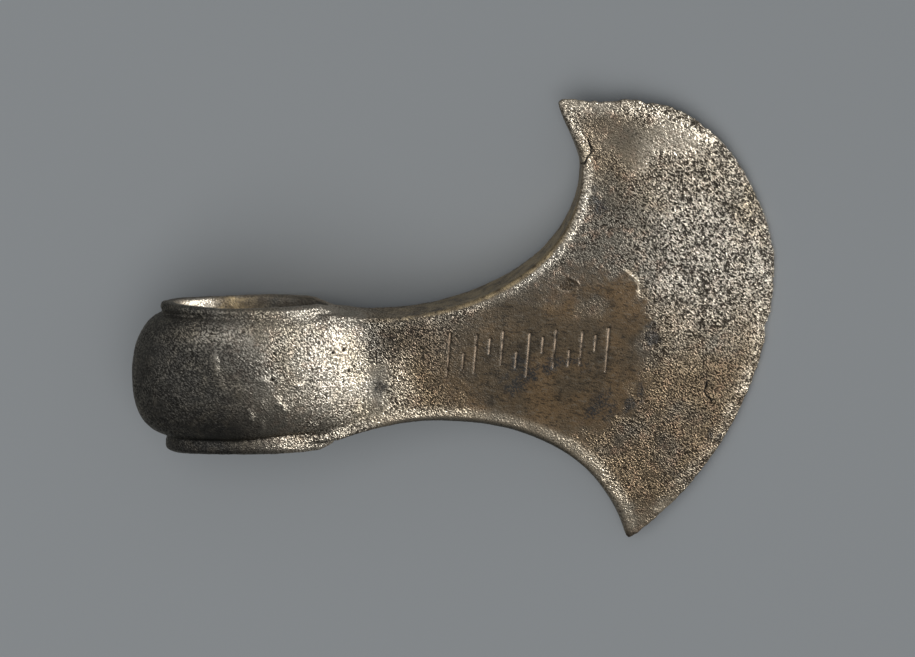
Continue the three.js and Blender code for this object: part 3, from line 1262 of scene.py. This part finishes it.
    def wear_and_highlights(self, at: Zones, shoulder_sheen: Array) -> Array:
        """How pale the metal is laid: worn bright, with painted highlights and painted shade on
        socket, hole, neck and raised sides.

        Args:
            at: the points' zones.
            shoulder_sheen: share of the painted sheen under the upper collar.

        Returns:
            Shares, which may pass 1.
        """
        x, y = at.x, at.y
        # Painted highlight on the socket's flare.
        flare_highlight = ramp(1.5, 0.5, self.flare_highlight.over(x, y))
        # Painted shade: the socket is darker towards its foot.
        bright = (0.5 + 0.36 * flare_highlight) * (1 - 0.2 * ramp(2.0, -9.0, at.wy))
        # Painted highlight on the right part of the foot collar.
        bright += 0.4 * ramp(-11.0, -13.5, y) * ramp(-8.0, 4.0, x)
        bright *= at.on_socket
        # Painted light on the socket's lower right, the painted sheen, and a painted highlight on
        # the left end of the hole's wall.
        bright += 0.3 * at.belly + 0.35 * shoulder_sheen + 0.35 * at.bore * ramp(-2.0, -9.0, x)
        # Painted highlight where the socket meets the neck.
        bright += 0.85 * ramp(22.0, 28.0, x) * at.share((37.0, 30.0), (8.0, 3.0))
        bright += 0.2 * at.right + 0.58 * at.share((80.0, 95.0), (-1.0, 19.0)) + at.fringe
        # The raised sides are worn bright and also carry a painted highlight, paler on the right
        # and on the lower side.
        sides = 0.35 + 0.7 * ramp(54.0, 66.0, x) + 0.75 * ramp(0.0, -6.0, y)
        return bright + at.flange * (sides + 0.4 * ramp(18.0, 28.0, y))

    def stained(self, at: Zones) -> Array:
        """Share of dark stain.

        Args:
            at: the points' zones.

        Returns:
            1 where a stain is whole.
        """
        ragged = 1.1 * noise(at.points, 1.9, 73) + 0.9 * noise(at.points, 0.8, 74)
        stain = np.zeros(len(at.x))
        for mark in self.stains:
            stain = np.maximum(stain, ramp(1.35, 0.7, mark.over(at.wx, at.wy) + ragged))
        foul = 0.5 * at.on_socket * at.share((8.0, -8.0), (-3.0, -13.0))
        return np.maximum(stain * at.up, foul)

    def film_and_shade_share(self, at: Zones, shoulder_sheen: Array) -> Array:
        """Share of painted shade with a grey film: on the socket's back, on the lower sides of neck
        and wings, in the hole's right end, and on the neck's upper grain.

        Args:
            at: the points' zones.
            shoulder_sheen: share of the painted sheen under the upper collar.

        Returns:
            Shares, which may pass 1.
        """
        # Painted shade with a grey film on the socket's back, the side turned from the light.
        back = at.on_socket * ramp(7.0, -12.0, at.wx + 0.35 * at.wy)
        film_and_shade = back * (1 - at.bore) * (1 - 0.7 * shoulder_sheen)
        # Painted shade on the lower sides of neck and wings and on the right of the hole's wall.
        film_and_shade += 0.95 * at.narrow * ramp(0.0, -6.0, at.y) + at.bore * ramp(-4.0, 7.0, at.x)
        return film_and_shade + 0.35 * at.neck_top * at.on_blade


# ---------------------------------------------------------------- finish


Colour = tuple[float, float, float, float]


class Sum(Enum):
    """How two values are joined."""

    ADD = "ADD"
    SUBTRACT = "SUBTRACT"
    MULTIPLY = "MULTIPLY"
    HIGHEST = "MAXIMUM"


@dataclass(frozen=True)
class Value:
    """A number or colour in a node tree, which further sums are built from."""

    nodes: "Nodes"
    socket: bpy.types.NodeSocket

    def __add__(self, other: "Value | float") -> "Value":
        """Add another value."""
        return self.nodes.sum(Sum.ADD, self, other)

    def __radd__(self, other: "Value | float") -> "Value":
        """Add this value to a number."""
        return self.nodes.sum(Sum.ADD, other, self)

    def __sub__(self, other: "Value | float") -> "Value":
        """Take another value away."""
        return self.nodes.sum(Sum.SUBTRACT, self, other)

    def __rsub__(self, other: "Value | float") -> "Value":
        """Take this value away from a number."""
        return self.nodes.sum(Sum.SUBTRACT, other, self)

    def __mul__(self, other: "Value | float") -> "Value":
        """Multiply by another value."""
        return self.nodes.sum(Sum.MULTIPLY, self, other)

    def highest(self, other: "Value | float") -> "Value":
        """Take the higher of this and another value."""
        return self.nodes.sum(Sum.HIGHEST, self, other)

    def held(self) -> "Value":
        """Hold this sum between 0 and 1."""
        self.socket.node.use_clamp = True
        return self

    def step(self, low: float, high: float) -> "Value":
        """Rise smoothly from 0 at low to 1 at high, which may be the smaller."""
        inputs = {"Value": self, "From Min": low, "From Max": high}
        return self.nodes.put("MapRange", inputs, "Result", interpolation_type="SMOOTHSTEP")


class Nodes:
    """A short hand for building one material's node tree."""

    def __init__(self, name: str) -> None:
        """Start an empty material.

        Args:
            name: the material's name.
        """
        self.material = bpy.data.materials.new(name)
        self.material.use_nodes = True
        self.tree = self.material.node_tree
        self.tree.nodes.clear()

    def put(
        self, kind: str, inputs: dict[int | str, object], output: int | str, **settings: str
    ) -> Value:
        """Add a node.

        Args:
            kind: its type, without the leading ShaderNode.
            inputs: a number, colour or other value for each of its sockets.
            output: the socket to read.
            settings: its properties.

        Returns:
            What the node gives.
        """
        node = self.tree.nodes.new("ShaderNode" + kind)
        for key, setting in settings.items():
            setattr(node, key, setting)
        for name, value in inputs.items():
            if isinstance(value, Value):
                self.tree.links.new(value.socket, node.inputs[name])
            else:
                node.inputs[name].default_value = value
        return Value(self, node.outputs[output])

    def sum(self, kind: Sum, a: Value | float, b: Value | float) -> Value:
        """Join two values."""
        return self.put("Math", {0: a, 1: b}, 0, operation=kind.value)

    def mix(self, share: Value, a: Value | Colour, b: Value | Colour) -> Value:
        """Mix two colours, with a share of the second."""
        return self.put("Mix", {"Factor": share, "A": a, "B": b}, "Result", data_type="RGBA")

    def layer(self, layer: Layer) -> Value:
        """Read one of the surface's layers."""
        return self.put("Attribute", {}, "Fac", attribute_name=layer.value)

    def grain(self, place: Value, scale: float, detail: float, rough: float = 0.5) -> Value:
        """Read noise of a fineness, with a number of finer steps and their strength."""
        inputs = {"Vector": place, "Scale": scale, "Detail": detail, "Roughness": rough}
        return self.put("TexNoise", inputs, 0)

    def turned(self, place: Value, angle: float, stretch: tuple[float, float, float]) -> Value:
        """Turn places about Z, by degrees, and stretch what is drawn there."""
        inputs = {"Vector": place, "Rotation": (0.0, 0.0, math.radians(angle)), "Scale": stretch}
        return self.put("Mapping", inputs, 0, vector_type="TEXTURE")

    def finished(self, inputs: dict[int | str, object]) -> bpy.types.Material:
        """Close the tree with its shader.

        Args:
            inputs: a number, colour or other value for each of the shader's sockets.

        Returns:
            The material.
        """
        shader = self.put("BsdfPrincipled", inputs, "BSDF")
        output = self.tree.nodes.new("ShaderNodeOutputMaterial")
        self.tree.links.new(shader.socket, output.inputs["Surface"])
        return self.material


@dataclass(frozen=True)
class Bronze:
    """Old bronze: brown patina, pale worn metal, dark corrosion in the hollows, with painted
    highlights and painted shade.

    Attributes:
        patina: the smooth brown skin.
        earth: its warmer places.
        metal: bare metal, worn bright, also laid as painted highlight.
        tawny: bare metal with a warmer film.
        dull: corroded metal between the grains.
        golden: the same, where it is warm.
        blush: reddish places in it.
        hollow: the dark in pits and between grains, also laid as painted shade along the strokes'
            walls.
        film_and_shade: the grey film and painted shade on the socket's back and under the forms.
        stain: dark stains.
        side: the sides of neck and wings.
        cut: metal at the bottom of the strokes.
        specular_tint: the colour of its gloss.
    """

    patina: Colour = (0.060, 0.043, 0.025, 1.0)
    earth: Colour = (0.098, 0.062, 0.030, 1.0)
    metal: Colour = (0.60, 0.55, 0.465, 1.0)
    tawny: Colour = (0.54, 0.465, 0.35, 1.0)
    dull: Colour = (0.105, 0.094, 0.076, 1.0)
    golden: Colour = (0.155, 0.116, 0.073, 1.0)
    blush: Colour = (0.22, 0.13, 0.085, 1.0)
    hollow: Colour = (0.010, 0.008, 0.006, 1.0)
    film_and_shade: Colour = (0.042, 0.042, 0.040, 1.0)
    stain: Colour = (0.015, 0.0165, 0.0185, 1.0)
    side: Colour = (0.235, 0.178, 0.098, 1.0)
    cut: Colour = (0.45, 0.34, 0.24, 1.0)
    specular_tint: Colour = (1.0, 0.95, 0.86, 1.0)
    broad_scale: float = 90.0
    cloud_scale: float = 170.0
    middle_scale: float = 420.0
    scuff_scale: float = 1300.0
    pin_scale: float = 2100.0
    lump_scale: float = 2450.0
    fine_scale: float = 3000.0
    bump_depth: float = 0.0008

    def material(self) -> bpy.types.Material:
        """Build the material.

        Returns:
            The material, whose pattern lies in the object's own coordinates.
        """
        n = Nodes("bronze_patina")
        place = n.put("TexCoord", {}, "Object")
        broad = n.grain(place, self.broad_scale, 3.0)
        cloud = n.grain(place, self.cloud_scale, 2.0)
        middle = n.grain(place, self.middle_scale, 4.0, 0.6)
        slanted = n.turned(place, -42.0, (1.35, 0.85, 1.0))
        lumps = n.grain(slanted, self.lump_scale, 1.5)
        fine = n.grain(place, self.fine_scale, 2.0, 0.6)
        patch, side, warm = n.layer(Layer.PATCH), n.layer(Layer.SIDE), n.layer(Layer.WARM)
        crust, cut = n.layer(Layer.CRUST), n.layer(Layer.CUT)
        height = (n.layer(Layer.RELIEF) - 0.5) * 0.6 + (lumps - 0.5) * 1.3 + (fine - 0.5) * 0.6
        low = height.step(0.09, -0.17) * crust.step(0.0, 0.6)
        high = height.step(0.0, 0.22) * crust.step(0.0, 0.5)
        bare = 1.0 - patch.highest(side)

        smooth = self.smooth(n, place, broad, cloud)
        flank = n.mix(middle.step(0.3, 0.62), self.patina, self.side)
        eaten = n.mix(warm * broad.step(0.25, 0.55), self.dull, self.golden)
        eaten = n.mix(middle.step(0.48, 0.7) * 0.35, eaten, self.blush)
        # Pale metal where the bright layer holds worn metal or painted highlights.
        shine = n.layer(Layer.BRIGHT) * (0.35 + high * 0.65) * (0.6 + cloud * 0.8)
        gleam = n.mix(broad.step(0.45, 0.65).highest(warm * 0.75), self.metal, self.tawny)
        eaten = n.mix(shine, eaten, gleam)
        base = n.mix(bare, n.mix(side, smooth, flank), eaten)

        # Painted shade with a grey film, read from its layer.
        film_and_shade = n.layer(Layer.FILM_AND_SHADE) * middle.step(0.0, 0.65)
        stain = n.layer(Layer.STAIN) * lumps.step(0.32, 0.56)
        pin = n.grain(place, self.pin_scale, 1.0).step(0.40, 0.28)
        for share, colour in (
            (low * 0.88, self.hollow),
            (film_and_shade * 0.92, self.film_and_shade),
            (film_and_shade * low * 0.75, self.hollow),
            (film_and_shade * high * 0.12, self.metal),
            (stain * 0.85, self.stain),
            (pin * 0.7, self.hollow),
            # Painted shade along the strokes' walls.
            (cut.step(0.02, 0.35) * 0.6, self.hollow),
            (cut.step(0.4, 0.85) * middle.step(0.34, 0.5) * 0.85, self.cut),
        ):
            base = n.mix(share, base, colour)

        bump = {
            "Height": lumps * (0.35 + crust.step(0.5, 0.9) * 0.65) + fine * 0.55,
            "Distance": self.bump_depth,
            "Strength": (0.15 + crust * 0.85).held(),
        }
        inputs = {
            "Base Color": base,
            "Metallic": (0.35 + bare * 0.6 - low * 0.8).held(),
            "Roughness": (0.27 + fine * 0.16 + low * 0.3 + patch * 0.06).held(),
            "Specular IOR Level": (1.0 - low) * 0.5,
            "Specular Tint": self.specular_tint,
            "Normal": n.put("Bump", bump, "Normal"),
        }
        return n.finished(inputs)

    def smooth(self, n: Nodes, place: Value, broad: Value, cloud: Value) -> Value:
        """Colour the smooth patina, with its scuffs.

        Args:
            n: the material's nodes.
            place: places on the head.
            broad: broad noise.
            cloud: cloudy noise.

        Returns:
            The colour.
        """
        scuffs = n.grain(n.turned(place, -12.0, (2.6, 0.8, 1.0)), self.scuff_scale, 3.0, 0.65)
        smooth = n.mix(broad.step(0.4, 0.62), self.patina, self.earth)
        smooth = n.mix(scuffs.step(0.5, 0.34) * 0.75, smooth, self.hollow)
        smooth = n.mix(cloud.step(0.46, 0.3) * 0.5, smooth, self.hollow)
        return n.mix(scuffs.step(0.54, 0.7) * 0.5, smooth, self.dull)


@dataclass(frozen=True)
class Paper:
    """The plain floor."""

    colour: Colour = (0.56, 0.585, 0.60, 1.0)
    roughness: float = 0.9

    def material(self) -> bpy.types.Material:
        """Build the material."""
        inputs = {"Base Color": self.colour, "Roughness": self.roughness}
        return Nodes("floor_paper").finished(inputs)


# ---------------------------------------------------------------- the pieces


def add_object(name: str, data: bpy.types.ID) -> bpy.types.Object:
    """Make an object and put it in the scene.

    Args:
        name: its name.
        data: its mesh, light or camera.

    Returns:
        The object.
    """
    made = bpy.data.objects.new(name, data)
    bpy.context.scene.collection.objects.link(made)
    return made


@dataclass
class AxeHead:
    """The whole head, placed where the frame's solid lies."""

    form: Form
    surface: Surface
    finish: Bronze
    tilt: float = math.radians(7.84)
    socket_wear: float = 0.4
    most_triangles: int = 196_000

    def placement(self) -> Matrix:
        """Work out the move from the head's own frame, in millimetres, to the frame's metres.

        Returns:
            The move.
        """
        low, _ = (Vector(corner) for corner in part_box("axe_head"))
        length = self.form.socket.barrel_length / 2
        width = length * self.form.socket.oval
        out = math.hypot(length * math.cos(self.tilt), width * math.sin(self.tilt))
        drop = math.hypot(length * math.sin(self.tilt), width * math.cos(self.tilt))
        origin = Vector(
            (
                low.x + out * MM,
                low.y - self.form.blade.low_tip * MM,
                low.z + (drop - self.socket_wear) * MM,
            )
        )
        turn = Matrix.Rotation(self.tilt, 4, "Y")
        return Matrix.Translation(origin) @ turn @ Matrix.Scale(MM, 4)

    def build(self) -> bpy.types.Object:
        """Mesh, wear and place the head.

        Returns:
            The piece.
        """
        points, faces = self.form.mesh()
        log.info("form: %d points", len(points))
        mesh = bpy.data.meshes.new("axe_head_cast")
        distinct = faces != np.roll(faces, 1, axis=1)
        corners = distinct.sum(axis=1)
        starts = np.concatenate([[0], np.cumsum(corners)[:-1]])
        mesh.vertices.add(len(points))
        mesh.vertices.foreach_set("co", points.ravel())
        mesh.loops.add(int(corners.sum()))
        mesh.loops.foreach_set("vertex_index", faces[distinct])
        mesh.polygons.add(len(faces))
        mesh.polygons.foreach_set("loop_start", starts)
        mesh.update(calc_edges=True)
        self.refine(mesh)
        self.wear(mesh)
        piece = add_object("axe_head_cast", mesh)
        self.thin(piece)
        self.place(piece.data)
        return piece

    def refine(self, mesh: bpy.types.Mesh) -> None:
        """Divide the faces where cuts and small marks come, and ease the lattice's steps.

        Args:
            mesh: the head's mesh.
        """
        net = bmesh.new()
        net.from_mesh(mesh)
        for _ in range(2):
            bmesh.ops.smooth_vert(
                net, verts=net.verts, factor=0.5, use_axis_x=True, use_axis_y=True, use_axis_z=True
            )
        middles = np.array([face.calc_center_median() for face in net.faces])
        chosen = np.flatnonzero(self.surface.detailed(middles))
        net.faces.ensure_lookup_table()
        edges = {edge for at in chosen for edge in net.faces[at].edges}
        bmesh.ops.subdivide_edges(net, edges=list(edges), cuts=1, use_grid_fill=True)
        bmesh.ops.triangulate(net, faces=net.faces)
        net.to_mesh(mesh)
        net.free()

    def wear(self, mesh: bpy.types.Mesh) -> None:
        """Move the points by the surface's wear and store its layers on them.

        Args:
            mesh: the head's mesh.
        """
        count = len(mesh.vertices)
        points, normals = np.empty(count * 3), np.empty(count * 3)
        mesh.vertices.foreach_get("co", points)
        mesh.vertex_normals.foreach_get("vector", normals)
        points, normals = points.reshape(-1, 3), normals.reshape(-1, 3)
        move, layers = self.surface.read(points)
        points = points + normals * move[:, None]
        mesh.vertices.foreach_set("co", points.ravel())
        for layer, values in layers.items():
            store = mesh.attributes.new(layer.value, "FLOAT", "POINT")
            store.data.foreach_set("value", values.astype(np.float32))
        mesh.update()

    def thin(self, piece: bpy.types.Object) -> None:
        """Take the last triangles above the piece's limit out evenly.

        Args:
            piece: the head.
        """
        mesh = piece.data
        total = len(mesh.polygons)
        if total > self.most_triangles:
            modifier = piece.modifiers.new("thin", "DECIMATE")
            modifier.ratio = self.most_triangles / total
            bpy.context.view_layer.update()
            thinned = bpy.data.meshes.new_from_object(
                piece.evaluated_get(bpy.context.evaluated_depsgraph_get())
            )
            piece.modifiers.clear()
            piece.data = thinned
            bpy.data.meshes.remove(mesh)
        piece.data.shade_smooth()
        log.info("head: %d triangles, thinned from %d", len(piece.data.polygons), total)

    def place(self, mesh: bpy.types.Mesh) -> None:
        """Lay the mesh in the frame, flat where it rests, and within the solid's box.

        Args:
            mesh: the head's mesh, in its own frame.
        """
        mesh.transform(self.placement())
        points = np.empty(len(mesh.vertices) * 3)
        mesh.vertices.foreach_get("co", points)
        low, high = (np.array(corner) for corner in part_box("axe_head"))
        points = np.clip(points.reshape(-1, 3), low, high)
        mesh.vertices.foreach_set("co", points.ravel())
        mesh.update()

    def dress(self, piece: bpy.types.Object) -> None:
        """Give the head its finish and its place in the frame.

        Args:
            piece: the head.
        """
        piece.data.materials.clear()
        piece.data.materials.append(self.finish.material())
        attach(piece, "root")
        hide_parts("axe_head")


@dataclass(frozen=True)
class SoftLight:
    """A square soft light that faces the head.

    Attributes:
        name: the light's name.
        azimuth: degrees from +X towards +Y.
        height: degrees above the floor.
        away: distance from the head, in metres.
        size: its side, in metres.
        power: in watts.
    """

    name: str
    azimuth: float
    height: float
    away: float
    size: float
    power: float

    def hang(self, target: Vector, lit: bpy.types.Collection) -> None:
        """Hang the light.

        Args:
            target: the point that it faces.
            lit: what it shines on.
        """
        a, e = math.radians(self.azimuth), math.radians(self.height)
        toward = Vector((math.cos(e) * math.cos(a), math.cos(e) * math.sin(a), math.sin(e)))
        data = bpy.data.lights.new(self.name, "AREA")
        data.size = self.size
        data.energy = self.power
        light = add_object(self.name, data)
        light.light_linking.receiver_collection = lit
        light.location = target + toward * self.away
        light.rotation_euler = toward.to_track_quat("Z", "Y").to_euler()


@dataclass
class Studio:
    """Floor, lights and camera.

    Attributes:
        head_lights: key light low on the right, and softer ones above.
        floor_light: a broad light, for an even floor.
        lean: the camera's angle from straight above, in radians.
        view_width: width that the camera sees at the head, in metres.
    """

    head_lights: tuple[SoftLight, ...] = (
        SoftLight("key", 17.0, 15.0, 1.3, 0.42, 35.0),
        SoftLight("top", 100.0, 50.0, 1.5, 0.8, 6.0),
        SoftLight("fill", 160.0, 55.0, 1.7, 1.4, 8.0),
    )
    floor_light: SoftLight = SoftLight("broad", 215.0, 72.0, 1.9, 2.4, 15.0)
    sky: Colour = (0.9, 0.95, 1.0, 1.0)
    sky_strength: float = 0.15
    floor_side: float = 3.0
    paper: Paper = field(default_factory=Paper)
    lean: float = math.radians(8.0)
    distance: float = 1.5
    view_width: float = 0.19925
    aim_shift: tuple[float, float, float] = (0.00064, -0.00032, 0.0)

    def aim(self) -> Vector:
        """The point that the camera looks at."""
        low, high = (Vector(corner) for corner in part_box("axe_head"))
        return (low + high) / 2 + Vector(self.aim_shift)

    def lay_floor(self) -> bpy.types.Object:
        """Lay the plain floor.

        Returns:
            The floor.
        """
        half = self.floor_side / 2
        mesh = bpy.data.meshes.new("floor")
        corners = [(-half, -half, 0), (half, -half, 0), (half, half, 0), (-half, half, 0)]
        mesh.from_pydata(corners, [], [(0, 1, 2, 3)])
        floor = add_object("floor", mesh)
        floor.data.materials.append(self.paper.material())
        return floor

    def set_camera(self) -> None:
        """Look down on the head, a little from the side of its longer wing."""
        back = Vector((0.0, math.sin(self.lean), math.cos(self.lean)))
        right = Vector((1.0, 0.0, 0.0))
        turn = Matrix((right, back.cross(right), back)).transposed()
        data = bpy.data.cameras.new("camera")
        data.lens = data.sensor_width * self.distance / self.view_width
        data.clip_end = 10.0
        camera = add_object("camera", data)
        camera.matrix_world = Matrix.LocRotScale(
            self.aim() + back * self.distance, turn, Vector((1, 1, 1))
        )
        bpy.context.scene.camera = camera

    def set_lights(self, head: bpy.types.Object, floor: bpy.types.Object) -> None:
        """Hang the lights, each for the head or for the floor alone.

        Args:
            head: the head.
            floor: the floor.
        """
        floor_lights = (self.floor_light,)
        groups = (("head_lit", head, self.head_lights), ("floor_lit", floor, floor_lights))
        for name, thing, lights in groups:
            lit = bpy.data.collections.new(name)
            lit.objects.link(thing)
            for light in lights:
                light.hang(self.aim(), lit)
        world = bpy.data.worlds.new("studio")
        world.use_nodes = True
        background = world.node_tree.nodes["Background"].inputs
        background["Color"].default_value = self.sky
        background["Strength"].default_value = self.sky_strength
        bpy.context.scene.world = world
        bpy.context.scene.view_settings.view_transform = "Standard"

    def build(self, head: bpy.types.Object) -> None:
        """Set up floor, camera and lights for the head."""
        self.set_camera()
        self.set_lights(head, self.lay_floor())


def main() -> None:
    """Build the studio and the head."""
    logging.basicConfig(level=logging.INFO, format="%(name)s: %(message)s")
    socket = Socket()
    blade = Blade()
    head = AxeHead(Form(socket, blade), Surface(socket, blade, StrokeRow()), Bronze())
    piece = head.build()
    head.dress(piece)
    log.info("dressed %s", piece.name)
    Studio().build(piece)


if __name__ == "__main__":
    main()
